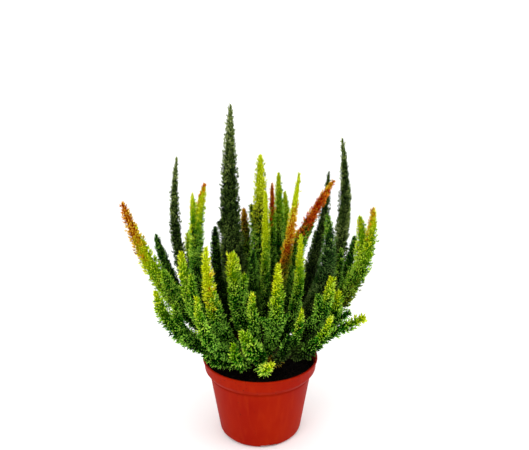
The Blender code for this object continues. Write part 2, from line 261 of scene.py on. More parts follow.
def new_piece(name, points, faces, finish):
    """A mesh piece from arrays of points in metres and of faces that all have as many corners."""
    mesh = bpy.data.meshes.new(name)
    mesh.vertices.add(len(points))
    mesh.vertices.foreach_set("co", np.ascontiguousarray(points, np.float32).ravel())
    mesh.loops.add(faces.size)
    mesh.loops.foreach_set("vertex_index", np.ascontiguousarray(faces, np.int32).ravel())
    mesh.polygons.add(len(faces))
    mesh.polygons.foreach_set("loop_start", np.arange(len(faces), dtype=np.int32) * faces.shape[1])
    mesh.update(calc_edges=True)
    mesh.shade_smooth()
    mesh.materials.append(finish.material)
    piece = bpy.data.objects.new(name, mesh)
    bpy.context.scene.collection.objects.link(piece)
    return piece


def rounded(profile):
    """Replaces each corner (radius, height, rounding) by a short curve.

    The curve starts and ends the rounding's length before and after the corner, and bends as a
    quadratic curve with the corner as its middle point.
    """
    corner = np.array([point[:2] for point in profile], float)
    length = np.array([point[2] for point in profile], float)
    back = np.roll(corner, 1, axis=0) - corner
    ahead = np.roll(corner, -1, axis=0) - corner
    back[0] = ahead[-1] = 0.0
    back /= np.maximum(np.linalg.norm(back, axis=1, keepdims=True), 1e-9)
    ahead /= np.maximum(np.linalg.norm(ahead, axis=1, keepdims=True), 1e-9)
    t = np.linspace(0.0, 1.0, CORNER_STEPS + 1)[None, :, None]
    before = (corner + back * length[:, None])[:, None]
    after = (corner + ahead * length[:, None])[:, None]
    curves = (1 - t) ** 2 * before + 2 * t * (1 - t) * corner[:, None] + t**2 * after
    keep = np.where(length > 0, CORNER_STEPS + 1, 1)
    return np.concatenate([curve[:count] for curve, count in zip(curves, keep)])


def turned_grid(profile, sides):
    """Points and faces of a profile turned about Z: (r cos a, r sin a, h) on a grid of angle by row.

    The profile starts and ends on the axis, where each end is one shared point.
    """
    angle = np.arange(sides) * math.tau / sides
    ring = profile[1:-1]
    grid = np.stack(
        [
            np.cos(angle)[:, None] * ring[:, 0],
            np.sin(angle)[:, None] * ring[:, 0],
            np.ones(sides)[:, None] * ring[:, 1],
        ],
        axis=-1,
    )
    ends = np.array([(0.0, 0.0, profile[0, 1]), (0.0, 0.0, profile[-1, 1])])
    points = np.concatenate([grid.reshape(-1, 3), ends])
    rows = len(ring)
    side, row = np.meshgrid(np.arange(sides), np.arange(rows - 1), indexing="ij")
    near = side * rows + row
    far = (side + 1) % sides * rows + row
    quads = np.stack([near, far, far + 1, near + 1], axis=-1).reshape(-1, 4)
    around = np.arange(sides)
    following = (around + 1) % sides
    first_end = np.full(sides, sides * rows)
    start_fan = np.stack([first_end, following * rows, around * rows], axis=-1)
    end_fan = np.stack([first_end + 1, around * rows + rows - 1, following * rows + rows - 1], axis=-1)
    triangles = np.concatenate([quads[:, [0, 1, 2]], quads[:, [0, 2, 3]], start_fan, end_fan])
    return points, triangles


def pot_inside(height):
    """The pot's inner radius at a height, one wall in from its outside."""
    outside = np.array([FOOT_CURVE, WALL_FOOT, STEP_FOOT, BAND_FOOT, (RIM_RADIUS, POT_HEIGHT)])
    return np.interp(height, outside[:, 1], outside[:, 0]) - POT_WALL


def pot_finish():
    """Red-brown plastic: paler where rubbed, streaked down the wall, dark specks at the band, painted shade
    under the step.
    """
    plain = shade(140, 15, 0)
    rubbed = shade(151, 26, 0)
    streaked = shade(176, 52, 10)
    peaty = shade(48, 14, 8)
    # Painted shade for the line under the band's step
    shade_line_colour = shade(96, 10, 0)
    finish = Finish("terracotta plastic", {"Roughness": 0.38, "Specular IOR Level": 0.03})
    even = finish.place((1.0, 1.0, 1.0))
    drawn = finish.place((1.0, 1.0, 0.12))
    cloud = finish.noise(even, 26.0)
    streak = finish.noise(drawn, 240.0)
    grain = finish.noise(even, 1500.0)
    height = finish.axis(even, "Z")
    colour = finish.mix(finish.between(cloud, 0.35, 0.7), plain, rubbed)
    colour = finish.mix(finish.between(streak, 0.5, 0.85) * 0.3, colour, streaked)
    near_rim = finish.between(height, SPECK_HEIGHTS[0] * MM, SPECK_HEIGHTS[1] * MM) * 0.055
    speck = finish.between(finish.noise(even, 620.0) + near_rim, 0.735, 0.75)
    colour = finish.mix(speck * 0.85, colour, peaty)
    # A line of painted shade just under the band's step, where the step shades the wall. The line is
    # rougher too.
    from_shade_line = height - SHADE_LINE_HEIGHT * MM
    from_shade_line = finish.node("ShaderNodeMath", {"operation": "ABSOLUTE"}, {0: from_shade_line})
    on_shade_line = 1.0 - finish.between(from_shade_line, SHADE_LINE_FADE[0] * MM, SHADE_LINE_FADE[1] * MM)
    finish.surface("Base Color", finish.mix(on_shade_line * 0.35, colour, shade_line_colour))
    finish.surface("Roughness", 0.46 + finish.between(cloud, 0.3, 0.7) * 0.1 + on_shade_line * 0.4)
    finish.bump(grain * 0.4 + streak * 0.6, 0.12, 0.2 * MM)
    return finish


def drain_cutters():
    """Six boxes that cut the slots, and six round pegs that cut the holes over them.

    All are centred on the pot's underside. A box is twice as tall as its slot, and a peg reaches well
    through the floor.
    """
    cutters = bpy.data.collections.new("drain cutters")
    inner, outer = SLOT_ENDS
    for number in range(DRAINS):
        turn = Matrix.Rotation(math.radians(FIRST_SLOT_DEGREES) + number * math.tau / DRAINS, 4, "Z")
        slot = bmesh.new()
        size = Matrix.Diagonal(((outer - inner) * MM, SLOT_WIDTH * MM, 2 * SLOT_HEIGHT * MM, 1.0))
        place = Matrix.Translation(((inner + outer) / 2 * MM, 0.0, 0.0))
        bmesh.ops.create_cube(slot, size=1.0, matrix=turn @ place @ size)
        peg = bmesh.new()
        width = DRAIN_HOLE_RADIUS * MM
        place = Matrix.Translation((DRAIN_HOLE_PLACE * MM, 0.0, 0.0))
        bmesh.ops.create_cone(
            peg, cap_ends=True, segments=DRAIN_HOLE_SIDES, radius1=width, radius2=width,
            depth=4 * POT_FLOOR * MM, matrix=turn @ place,
        )
        for form in (slot, peg):
            mesh = bpy.data.meshes.new("cutter")
            form.to_mesh(mesh)
            form.free()
            cutters.objects.link(bpy.data.objects.new("cutter", mesh))
    return cutters


def finished_mesh(piece):
    """Puts the piece's modifiers into its mesh."""
    graph = bpy.context.evaluated_depsgraph_get()
    mesh = bpy.data.meshes.new_from_object(piece.evaluated_get(graph))
    piece.modifiers.clear()
    piece.data = mesh


# Each corner's radius and height, and how far its rounding reaches to both sides
pot_profile = rounded(
    [
        (0.0, 0.0, 0.0),
        (SLOT_ENDS[0], 0.0, 0.0),
        (FOOT_RADIUS, 0.0, 1.0),
        (*FOOT_CURVE, 1.0),
        (*WALL_FOOT, 1.2),
        (*STEP_FOOT, 1.3),
        (*BAND_FOOT, 1.3),
        (RIM_RADIUS - 0.1, POT_HEIGHT - LIP_HEIGHT, 0.35),
        (LIP_RADIUS, POT_HEIGHT - LIP_HEIGHT, 0.3),
        (LIP_RADIUS, POT_HEIGHT, 0.55),
        (RIM_RADIUS - POT_WALL, POT_HEIGHT, 0.5),
        (pot_inside(BAND_FOOT[1]), BAND_FOOT[1], 1.0),
        (pot_inside(STEP_FOOT[1]), STEP_FOOT[1], 1.0),
        (pot_inside(WALL_FOOT[1]), WALL_FOOT[1], 0.6),
        (FOOT_RADIUS - POT_WALL, POT_FLOOR, 0.6),
        (0.0, POT_FLOOR, 0.0),
    ]
)
pot_points, pot_faces = turned_grid(pot_profile, POT_SIDES)
growers_pot = new_piece("growers_pot", pot_points * MM, pot_faces, pot_finish())
drain_boxes = drain_cutters()
cut = growers_pot.modifiers.new("drains", "BOOLEAN")
cut.operation = "DIFFERENCE"
cut.operand_type = "COLLECTION"
cut.collection = drain_boxes
cut.solver = "EXACT"
finished_mesh(growers_pot)
growers_pot.data.set_sharp_from_angle(angle=SHARP_ANGLE)
for cutter in list(drain_boxes.objects):
    bpy.data.objects.remove(cutter, do_unlink=True)
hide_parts("pot")
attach(growers_pot, "root")


# The peat: damp, black and crumbly. It fills the pot to 8 mm under the rim, pressed down by hand
# round the crown, with loose crumbs of all sizes on top.
PEAT_TOP = 64.0
CLEARANCE = 0.3
PEAT_EDGE = 0.8
PEAT_SIDES = 120
PEAT_RINGS = 42
PEAT_FADE = 2.0
PEAT_SINK = 0.4
LATTICE = 64

# Lumps of three sizes, as (width, height)
PEAT_LUMPS = ((9.0, 1.5), (3.6, 0.8), (1.7, 0.45))

CRUMBS = 620
CRUMB_SIZES = (0.5, 2.1)
CRUMB_DENTS = (0.65, 1.25)
CRUMB_SQUASH = (0.55, 1.0)
CRUMB_LIFT = 0.3
CRUMB_REACH = 48.5
CROWN_SHARE = 8.0 / 49.0


def lattice_noise(points, cell, draw):
    """Smooth random heights between -1 and 1 over the plane.

    A square lattice of random numbers, one cell apart, is blended by the smooth step of each point's
    place in its cell.
    """
    table = draw.uniform(-1.0, 1.0, (LATTICE, LATTICE))
    place = points[:, :2] / cell + LATTICE / 2
    column, row = np.floor(place).astype(int).T % (LATTICE - 1)
    part = place - np.floor(place)
    across, along = (part * part * (3.0 - 2.0 * part)).T
    near = table[column, row] * (1 - along) + table[column, row + 1] * along
    far = table[column + 1, row] * (1 - along) + table[column + 1, row + 1] * along
    return near * (1 - across) + far * across


def peat_surface(draw):
    """The peat's closed form: a turned profile whose top is raised by three sizes of lumps."""
    edge = pot_inside(PEAT_TOP - PEAT_EDGE) - CLEARANCE
    foot = POT_FLOOR + CLEARANCE
    ring_radii = np.linspace(0.0, edge - PEAT_EDGE, PEAT_RINGS)
    top = np.stack([ring_radii, np.full(PEAT_RINGS, PEAT_TOP)], axis=1)
    heights = np.array([PEAT_TOP - PEAT_EDGE, BAND_FOOT[1], STEP_FOOT[1], WALL_FOOT[1]])
    wall = np.stack([pot_inside(heights) - CLEARANCE, heights], axis=1)
    bottom = np.array([(FOOT_RADIUS - POT_WALL - CLEARANCE, foot), (0.0, foot)])
    points, faces = turned_grid(np.concatenate([top, wall, bottom])[::-1], PEAT_SIDES)
    radius = np.hypot(points[:, 0], points[:, 1])
    on_top = points[:, 2] > PEAT_TOP - PEAT_EDGE / 2
    fade = np.clip((edge - radius) / PEAT_FADE, 0.0, 1.0) * on_top
    for cell, height in PEAT_LUMPS:
        points[:, 2] += fade * height * lattice_noise(points, cell, draw)
    points[:, 2] -= fade * PEAT_SINK
    return points, faces


def icosahedron():
    """The 12 corners and 20 faces of a ball of radius 1, from three crossed golden rectangles.

    Its edges are 1.05 long, so three corners that are all less than 1.1 apart make a face.
    """
    golden = (1 + math.sqrt(5)) / 2
    flat = np.array([(s, t * golden, 0.0) for s in (-1, 1) for t in (-1, 1)])
    points = np.concatenate([flat, np.roll(flat, 1, axis=1), np.roll(flat, 2, axis=1)])
    points /= np.linalg.norm(points, axis=1, keepdims=True)
    near = np.linalg.norm(points[:, None] - points[None], axis=2) < 1.1
    one, two, three = np.meshgrid(*[np.arange(len(points))] * 3, indexing="ij")
    ordered = (one < two) & (two < three)
    meeting = ordered & near[one, two] & near[two, three] & near[one, three]
    faces = np.stack([one[meeting], two[meeting], three[meeting]], axis=1)
    a, b, c = points[faces[:, 0]], points[faces[:, 1]], points[faces[:, 2]]
    inside_out = np.einsum("ij,ij->i", np.cross(b - a, c - a), a + b + c) < 0
    faces[inside_out] = faces[inside_out][:, [0, 2, 1]]
    return points, faces


def peat_crumbs(draw):
    """Small uneven lumps on the peat: each a ball of 20 faces, squashed and dented at random.

    The square root spreads them evenly over the ring round the crown. Most are small, because their
    sizes follow the cube of an even draw.
    """
    ball, ball_faces = icosahedron()
    radius = np.sqrt(draw.uniform(CROWN_SHARE**2, 1.0, CRUMBS)) * CRUMB_REACH
    angle = draw.uniform(0.0, math.tau, CRUMBS)
    least, most = CRUMB_SIZES
    size = least + (most - least) * draw.uniform(0.0, 1.0, CRUMBS) ** 3
    height = PEAT_TOP + CRUMB_LIFT + 0.1 * size
    centre = np.stack([radius * np.cos(angle), radius * np.sin(angle), height], axis=1)
    dent = draw.uniform(*CRUMB_DENTS, (CRUMBS, len(ball), 1))
    squash = draw.uniform(*CRUMB_SQUASH, (CRUMBS, 1, 3))
    points = centre[:, None] + ball[None] * dent * squash * size[:, None, None]
    faces = ball_faces[None] + (np.arange(CRUMBS) * len(ball))[:, None, None]
    return points.reshape(-1, 3), faces.reshape(-1, 3)


def joined(parts):
    """Several (points, faces) as one, with the faces counted on."""
    counts = np.cumsum([0] + [len(points) for points, _ in parts[:-1]])
    points = np.concatenate([points for points, _ in parts])
    faces = np.concatenate([faces + count for (_, faces), count in zip(parts, counts)])
    return points, faces


def peat_finish():
    """Black damp crumbs with dark brown fibres between them."""
    black = shade(4, 4, 4)
    damp = shade(26, 19, 15)
    fibre = shade(70, 46, 30)
    finish = Finish("peat", {"Roughness": 0.95, "Specular IOR Level": 0.03})
    lumps = finish.noise(finish.place((1.0, 1.0, 1.0)), 420.0, 4.0)
    fibres = finish.noise(finish.place((1.0, 0.25, 1.0)), 1600.0)
    colour = finish.mix(finish.between(lumps, 0.4, 0.75), black, damp)
    finish.surface("Base Color", finish.mix(finish.between(fibres, 0.66, 0.76), colour, fibre))
    finish.bump(lumps + fibres * 0.4, 0.7, 0.8 * MM)
    return finish


peat_draw = np.random.default_rng(5)
peat_points, peat_faces = joined([peat_surface(peat_draw), peat_crumbs(peat_draw)])
peat_fill = new_piece("peat_fill", peat_points * MM, peat_faces, peat_finish())
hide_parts("peat")
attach(peat_fill, "root")


# The shoots' routes. Each shoot leaves the crown towards a knee and bends up to its tip. Its foot is
# bare, and the rest is leafy; some carry side shoots, given as (share of the spine, tip).
SHOOT_ROOT = (0.0, 0.0, 68.0)
SPINE_SAMPLES = 160
STRAIGHT_PUSH = np.array([0.0, 1e-3, 0.0])

# name: slot, ripening, widest radius, bare length, knee, tip, side shoots
SHOOTS = {
    "tall_left": ("dark", "dark_pale", 10.8, 32, (-35, 20, 118), (-26, 22, 301), [(0.62, (-40, 13, 196))]),
    "tall_right": ("dark", "dark_patched", 7.8, 42, (98, 36, 106), (75, 34, 271), [(0.66, (84, 40, 226))]),
    "dark_left": ("dark", "dark_pale", 6.8, 38, (-98, 26, 108), (-77, 34, 254), []),
    "dark_right": ("dark", "dark_light", 9.8, 40, (71, 0, 106), (60, 2, 206), []),
    "dark_back": ("dark", "dark", 7.4, 42, (62, 60, 114), (68, 66, 237), []),
    "lime_tall": ("lime", "yellow_top", 9.4, 34, (0, 38, 122), (0, 38, 256), [(0.60, (-10, 43, 208))]),
    "lime_middle": ("lime", "yellow_high", 4.8, 24, (6, 10, 112), (5, 10, 225), []),
    "red_small": ("orange", "rust_tip", 5.2, 38, (14, 54, 121), (11, 53, 227), []),
    "green_back_a": ("green", "lime", 7.4, 46, (22, 70, 117), (18, 72, 235), []),
    "green_back_b": ("green", "lime", 7.2, 54, (32, 82, 107), (25, 88, 214), []),
    "lime_leaning": ("lime", "yellow_over_rust", 5.2, 28, (22, -6, 140), (34, -2, 243), []),
    "orange_leaning": ("orange", "rust", 7.2, 34, (30, 14, 183), (68, 18, 234), [(0.38, (50, 24, 192))]),
    "green_left": ("green", "green_orange_tip", 7.6, 40, (-80, 0, 106), (-48, 4, 233),
        [(0.55, (-59, 0, 225))]),
    "brown_back": ("orange", "brown", 8.4, 42, (-12, 60, 103), (-17, 62, 201), []),
    "middle_back": ("green", "green_shaded", 6.0, 22, (-8, -4, 109), (-6, -2, 174), []),
    "far_left": ("orange", "gold", 9.4, 38, (-90, 0, 104), (-119, -8, 219),
        [(0.50, (-83, -20, 160))]),
    "left_a": ("lime", "lime", 7.2, 40, (-63, -35, 101), (-65, -34, 182), [(0.60, (-56, -41, 164))]),
    "left_low": ("green", "green_lime_tip", 8.8, 38, (-85, -24, 87), (-88, -31, 147),
        [(0.52, (-72, -30, 136)), (0.46, (-62, -42, 104))]),
    "left_front": ("lime", "yellow_tinted", 6.8, 32, (-47, -38, 98), (-44, -34, 186),
        [(0.45, (-38, -48, 118))]),
    "left_inner": ("green", "green_lime_tip", 6.0, 40, (-50, -57, 88), (-50, -54, 150),
        [(0.52, (-37, -62, 106))]),
    "broad": ("green", "lime_late", 8.4, 26, (-20, -20, 105), (-24, -22, 178),
        [(0.58, (-12, -23, 158)), (0.44, (-5, -23, 142))]),
    "front_small": ("green", "green_lime_tip", 5.4, 26, (-7, -34, 97), (-6, -36, 147), []),
    "lime_centre": ("lime", "yellow", 7.0, 24, (16, -38, 94), (15, -36, 172),
        [(0.50, (24, -42, 128)), (0.45, (0, -45, 126))]),
    "lime_right": ("lime", "yellow", 5.2, 28, (39, -20, 98), (34, -22, 193), []),
    "right_small": ("lime", "lime_shaded_foot", 4.8, 32, (33, -46, 89), (35, -44, 135), []),
    "low_left_a": ("green", "green_young", 8.2, 26, (2, -42, 84), (-16, -54, 120), []),
    "low_left_b": ("green", "green_young", 6.0, 26, (-23, -46, 74), (-22, -49, 107), []),
    "low_left_c": ("green", "green", 5.6, 24, (-36, -34, 74), (-50, -38, 90), []),
    "low_front": ("lime", "lime_young", 5.4, 34, (-2, -50, 73), (12, -56, 93), []),
    "low_right": ("green", "green_shaded_foot", 5.4, 30, (20, -52, 81), (24, -50, 115), []),
    "right_a": ("lime", "lime_shaded_foot", 6.8, 36, (57, -34, 100), (60, -34, 160), [(0.60, (48, -39, 145))]),
    "right_b": ("lime", "lime_shaded_foot", 7.0, 40, (72, -16, 90), (68, -18, 142), [(0.56, (80, -24, 124))]),
    "right_c": ("green", "lime_shaded_foot", 6.4, 44, (54, -55, 92), (58, -53, 133), [(0.62, (69, -48, 119))]),
    "right_twig": ("green", "green_lime_tip", 6.6, 48, (75, 4, 94), (99, 2, 109), []),
    "far_right": ("orange", "gold_lime", 9.0, 46, (104, 6, 115), (99, -2, 213),
        [(0.66, (88, 5, 204)), (0.52, (85, -12, 158))]),
    "right_middle": ("green", "green", 5.2, 46, (78, 17, 101), (75, 18, 171), []),
    "rear_a": ("green", "green_lime_tip", 8.4, 38, (-68, 56, 92), (-74, 62, 176), [(0.60, (-60, 68, 148))]),
    "rear_b": ("green", "green_lime_tip", 8.6, 38, (-34, 76, 84), (-40, 84, 160), [(0.58, (-27, 92, 128))]),
    "rear_c": ("lime", "yellow", 9.0, 38, (0, 82, 92), (2, 96, 184), [(0.58, (-13, 98, 146))]),
    "rear_d": ("green", "green_lime_tip", 9.0, 38, (36, 80, 88), (40, 92, 172), [(0.58, (24, 100, 134))]),
    "rear_e": ("lime", "green", 8.6, 42, (86, 50, 90), (95, 60, 173), [(0.60, (82, 70, 144))]),
    "rear_f": ("green", "green_shaded", 8.0, 38, (-78, 24, 84), (-99, 28, 182), [(0.60, (-88, 40, 130))]),
    "rear_g": ("green", "green_shaded", 8.4, 32, (-46, 34, 94), (-43, 36, 188), []),
    "rear_h": ("green", "green_shaded", 8.6, 42, (58, 68, 92), (58, 78, 174), []),
}


class Spine:
    """A shoot's middle line: the quadratic curve (1-t)^2 start + 2t(1-t) knee + t^2 tip.

    It bends in one plane, so the plane's normal and its cross product with the curve's direction
    make a frame that never twists. A straight line has no such plane, so a small push along Y, too
    small to matter elsewhere, gives it a normal.
    """

    def __init__(self, start, knee, tip):
        start, knee, tip = np.array(start, float), np.array(knee, float), np.array(tip, float)
        t = np.linspace(0.0, 1.0, SPINE_SAMPLES + 1)[:, None]
        self.points = (1 - t) ** 2 * start + 2 * t * (1 - t) * knee + t**2 * tip
        steps = np.linalg.norm(np.diff(self.points, axis=0), axis=1)
        self.lengths = np.concatenate([[0.0], np.cumsum(steps)])
        self.length = self.lengths[-1]
        normal = np.cross(knee - start, tip - start) + STRAIGHT_PUSH
        self.normal = normal / np.linalg.norm(normal)

    def between_ends(self, length):
        """Points on the curve at lengths from 0 to the curve's own."""
        return np.stack([np.interp(length, self.lengths, axis) for axis in self.points.T], axis=1)

    def at(self, length):
        """Points on the curve at these lengths from its start, carried on straight past its ends."""
        inside = np.clip(length, 0.0, self.length)
        return self.between_ends(inside) + self.along(inside) * (length - inside)[:, None]

    def along(self, length):
        """The curve's direction at these lengths."""
        step = self.length / SPINE_SAMPLES
        low = np.clip(length - step, 0.0, self.length)
        high = np.clip(length + step, 0.0, self.length)
        direction = self.between_ends(high) - self.between_ends(low)
        return direction / np.linalg.norm(direction, axis=1, keepdims=True)

    def outward(self, length, angle):
        """The direction square to the curve, turned by an angle round it."""
        along = self.along(length)
        across = np.cross(along, self.normal)
        across /= np.linalg.norm(across, axis=1, keepdims=True)
        other = np.cross(across, along)
        return np.cos(angle)[:, None] * across + np.sin(angle)[:, None] * other


def side_spine(spine, share, tip):
    """A side shoot leaves along the main one and bends out to its own tip."""
    at = round(share * SPINE_SAMPLES)
    start = spine.points[at]
    along = spine.points[at + 1] - spine.points[at]
    along = along / np.linalg.norm(along)
    reach = np.linalg.norm(np.array(tip) - start)
    middle = (start + np.array(tip)) / 2
    return Spine(start, (middle + start + along * reach / 2) / 2, tip)


def swept(spine, lengths, radii):
    """A closed stem: a ring of points at each length, square to the spine, and a point at each end.

    radii has a row for each ring and a column for each side.
    """
    count, sides = radii.shape
    rings, angle = np.meshgrid(np.arange(count), np.arange(sides) * math.tau / sides, indexing="ij")
    out = spine.outward(lengths[rings.ravel()], angle.ravel())
    ring_points = spine.at(lengths[rings.ravel()]) + out * radii.ravel()[:, None]
    points = np.concatenate([ring_points, spine.at(lengths[[0, -1]])])
    ring, side = np.meshgrid(np.arange(count - 1), np.arange(sides), indexing="ij")
    near = ring * sides + side
    near_next = ring * sides + (side + 1) % sides
    quads = np.stack([near, near_next, near_next + sides, near + sides], axis=-1).reshape(-1, 4)
    around = np.arange(sides)
    following = (around + 1) % sides
    last = (count - 1) * sides
    first_end = np.full(sides, count * sides)
    start_fan = np.stack([first_end, following, around], axis=-1)
    end_fan = np.stack([first_end + 1, last + around, last + following], axis=-1)
    return points, np.concatenate([quads[:, [0, 1, 2]], quads[:, [0, 2, 3]], start_fan, end_fan])


# The woody crown: the knobbly brown base of the plant at the peat, with the bare foot of every shoot.
# It grew as one piece. Its bark is rough, and turns from grey-brown to olive up the stems.
CROWN = (0.0, 0.0, 66.0)
CROWN_RADII = (9.2, 9.2, 8.2)
CROWN_SIDES = 32
CROWN_ROWS = 17
KNOB_SCALE = 10.0
KNOB_CELL = 4.0
KNOB_DEPTH = 0.10
STEM_START = 3.0
STEM_OVERLAP = 2.0
STEM_RADII = (1.7, 1.0)
STEM_SWELLS = (0.88, 1.12)
STEM_SIDES = 8
STEM_RINGS = 14
OLIVE_HEIGHTS = (74.0, 104.0)


def crown_lump(draw):
    """A turned ball, pushed out and in by random heights, so that it looks knobbly.

    The ball's radius is 1. Its heights are looked up at KNOB_SCALE times that size.
    """
    polar = np.linspace(math.pi, 0.0, CROWN_ROWS)
    profile = np.stack([np.sin(polar), np.cos(polar)], axis=1)
    points, faces = turned_grid(profile, CROWN_SIDES)
    knobs = 1.0 + KNOB_DEPTH * lattice_noise(points[:, [0, 2]] * KNOB_SCALE, KNOB_CELL, draw)
    return points * np.array(CROWN_RADII) * knobs[:, None] + np.array(CROWN), faces


def bark_finish():
    """Rough bark: grey-brown scales low down, and olive patches higher up the stems."""
    dark_brown = shade(22, 13, 8)
    pale_brown = shade(62, 40, 25)
    brown_olive = shade(38, 28, 12)
    green_olive = shade(30, 34, 12)
    finish = Finish("bark", {"Roughness": 0.85, "Specular IOR Level": 0.3})
    even = finish.place((1.0, 1.0, 1.0))
    scales = finish.noise(finish.place((1.0, 1.0, 0.35)), 1300.0, 3.0)
    patches = finish.noise(even, 260.0)
    brown = finish.mix(finish.between(scales, 0.35, 0.7), dark_brown, pale_brown)
    olive = finish.mix(finish.between(patches, 0.4, 0.65), brown_olive, green_olive)
    up_stem = finish.between(finish.axis(even, "Z"), OLIVE_HEIGHTS[0] * MM, OLIVE_HEIGHTS[1] * MM)
    finish.surface("Base Color", finish.mix(up_stem, brown, olive))
    finish.bump(scales, 0.6, 0.4 * MM)
    return finish


crown_draw = np.random.default_rng(11)
crown_parts = [crown_lump(crown_draw)]
for _, _, _, bare, knee, tip, _ in SHOOTS.values():
    stem_lengths = np.linspace(STEM_START, bare + STEM_OVERLAP, STEM_RINGS)
    stem_radii = np.linspace(*STEM_RADII, STEM_RINGS) * crown_draw.uniform(*STEM_SWELLS, STEM_RINGS)
    stem_radii = np.tile(stem_radii[:, None], STEM_SIDES)
    crown_parts.append(swept(Spine(SHOOT_ROOT, knee, tip), stem_lengths, stem_radii))
crown_points, crown_faces = joined(crown_parts)
crown_wood = new_piece("crown_wood", crown_points * MM, crown_faces, bark_finish())
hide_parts("woody_crown")
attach(crown_wood, "root")


# The leafy shoots: each is a thin stem set all round with short twigs, and each twig ends in a tuft of
# small fleshy leaves. They are green low down and ripen to lime, yellow or orange at the tip, and the
# tall dark shoots turn grey-green there.
GOLDEN_ANGLE = math.pi * (3.0 - math.sqrt(5.0))

# One tuft: its leaves and its bud. A leaf's paleness is given at its base, left, right, keel and tip: low
# paleness is painted shade, and the tip's is a painted highlight.
TUFT_LENGTH = 3.6
LEAVES_ROUND = 3
LEAF_LENGTH = 3.1
LEAF_HALF_WIDTH = 0.52
LEAF_WIDEST = 0.45
LEAF_KEEL = 0.42
LEAF_LEAN = math.radians(34)
LEAF_PLACE = 0.5
LEAF_PALE = (0.12, 0.5, 0.5, 0.55, 1.0)
BUD_PLACE = 1.2
BUD_TURN = 0.5
SPIKE_RADIUS = 0.3
SPIKE_TIP = BUD_PLACE + 0.5
SPIKE_PALE = (0.02, 0.06, 0.1, 0.4)

# A shoot's form along its leafy stretch
FOOT_SHARE = 0.75
WIDEST_AT = 0.25
TAPER_SHARE = 0.6
LEAST_REACH = 1.2
SIDE_SHOOT_SHARE = 0.7
SIDE_TIP_LAG = 0.07

# How the tufts stand on it, and how much they vary
AREA_STEPS = 200
TUFT_PATCH = 6.8
PLACE_SPREAD = 0.3
ANGLE_SPREAD = 0.07
END_MARGIN = 0.6
REACH_RANGE = (0.82, 1.1)
BUMP_CELL = 7.0
BUMP_DEPTH = 0.16
STRAY_SHARE = 0.5
STRAY_RANGE = (-0.2, 1.3)
TWIG_LEANS = (math.radians(72), math.radians(50))
TWIG_MARGIN = 1.0
UPTURN = 0.1
UPTURN_SPREAD = 0.2
CLOSING_SHARE = 0.06
LENGTH_RANGE = (0.8, 1.2)
LENGTH_AT_FOOT = 1.12
LENGTH_LOSS = 0.24
# Tufts facing front left, towards the front lamp, are moved up the ripening to lighter tints, and those
# facing away down it: a painted lit side and shaded side
LIT_SIDE_DIRECTION = np.array([-0.85, -0.45, 0.3])
PAINTED_LIT_SIDE = 0.1
RIPE_SPREAD = 0.05
RIPE_ACROSS = 0.008
PALE_SPREAD = 0.12
# Tufts that stand out on the bumps are paler and those sunk in darker: painted light and shade, and partly
# the younger outer leaves' paler green
BUMP_LIGHT_AND_SHADE = 0.2

# The sleeve of old leaves inside, coloured in the tints' painted shade
SLEEVE_DEPTH = 2.1
SLEEVE_SHARE = 0.68
SLEEVE_SIDES = 9
SLEEVE_STEP = 1.8
SLEEVE_LEAST_RINGS = 5
SLEEVE_MARGIN = 1.5
SLEEVE_RANGE = (0.72, 1.22)
SLEEVE_END = 0.5
SLEEVE_RIPE_SPREAD = 0.02
SLEEVE_PALE = 0.08

# The power by which a shoot narrows to its tip, for each slot and for the shoots with blunter tips
TAPER_POWERS = {"dark": 0.52, "green": 0.4, "lime": 0.4, "orange": 0.4}
BLUNT_TIPS = {"right_twig": 0.12, "broad": 0.28, "right_b": 0.3, "right_a": 0.3}

# How many times the usual size a shoot's leaves are, and so how far apart they stand. The young, low
# shoots in front and the twig on the right have the largest, then the fans and the middle ones in front.
LEAF_SIZES = {
    "low_left_a": 1.75,
    "low_left_b": 1.8,
    "low_left_c": 1.6,
    "low_front": 1.9,
    "low_right": 1.6,
    "front_small": 1.5,
    "right_small": 1.25,
    "right_a": 1.3,
    "right_b": 1.3,
    "right_c": 1.4,
    "right_twig": 1.8,
    "left_low": 1.4,
    "left_inner": 1.45,
    "left_front": 1.3,
    "left_a": 1.3,
    "broad": 1.35,
    "lime_centre": 1.45,
    "far_left": 1.25,
    "far_right": 1.2,
}

# Each tint: painted shade between the leaves, the leaf's own colour, and a painted highlight at its pale
# point
TINTS = {
    "black_green": ((3, 8, 2), (24, 44, 10), (82, 104, 44)),
    "dark_green": ((6, 16, 3), (44, 74, 18), (124, 146, 70)),
    "moss_green": ((3, 18, 3), (28, 76, 16), (132, 168, 88)),
    "grey_green": ((24, 38, 10), (92, 116, 38), (182, 200, 112)),
    "pale_grey": ((56, 70, 28), (136, 152, 84), (206, 216, 150)),
    "shade_green": ((0, 8, 0), (10, 48, 0), (90, 130, 40)),
    "deep_green": ((0, 10, 0), (3, 76, 0), (168, 232, 82)),
    "fresh_green": ((0, 28, 0), (37, 128, 0), (206, 250, 86)),
    "lime": ((70, 112, 0), (150, 200, 0), (236, 250, 86)),
    "yellow": ((136, 152, 0), (214, 228, 2), (250, 254, 76)),
    "gold": ((138, 66, 0), (222, 166, 8), (250, 230, 66)),
    "orange": ((120, 34, 0), (218, 118, 6), (250, 206, 52)),
    "rust": ((110, 18, 0), (212, 64, 4), (250, 160, 36)),
    "brown": ((50, 28, 0), (142, 96, 10), (206, 168, 48)),
    "olive": ((24, 34, 0), (92, 112, 10), (172, 188, 52)),
}

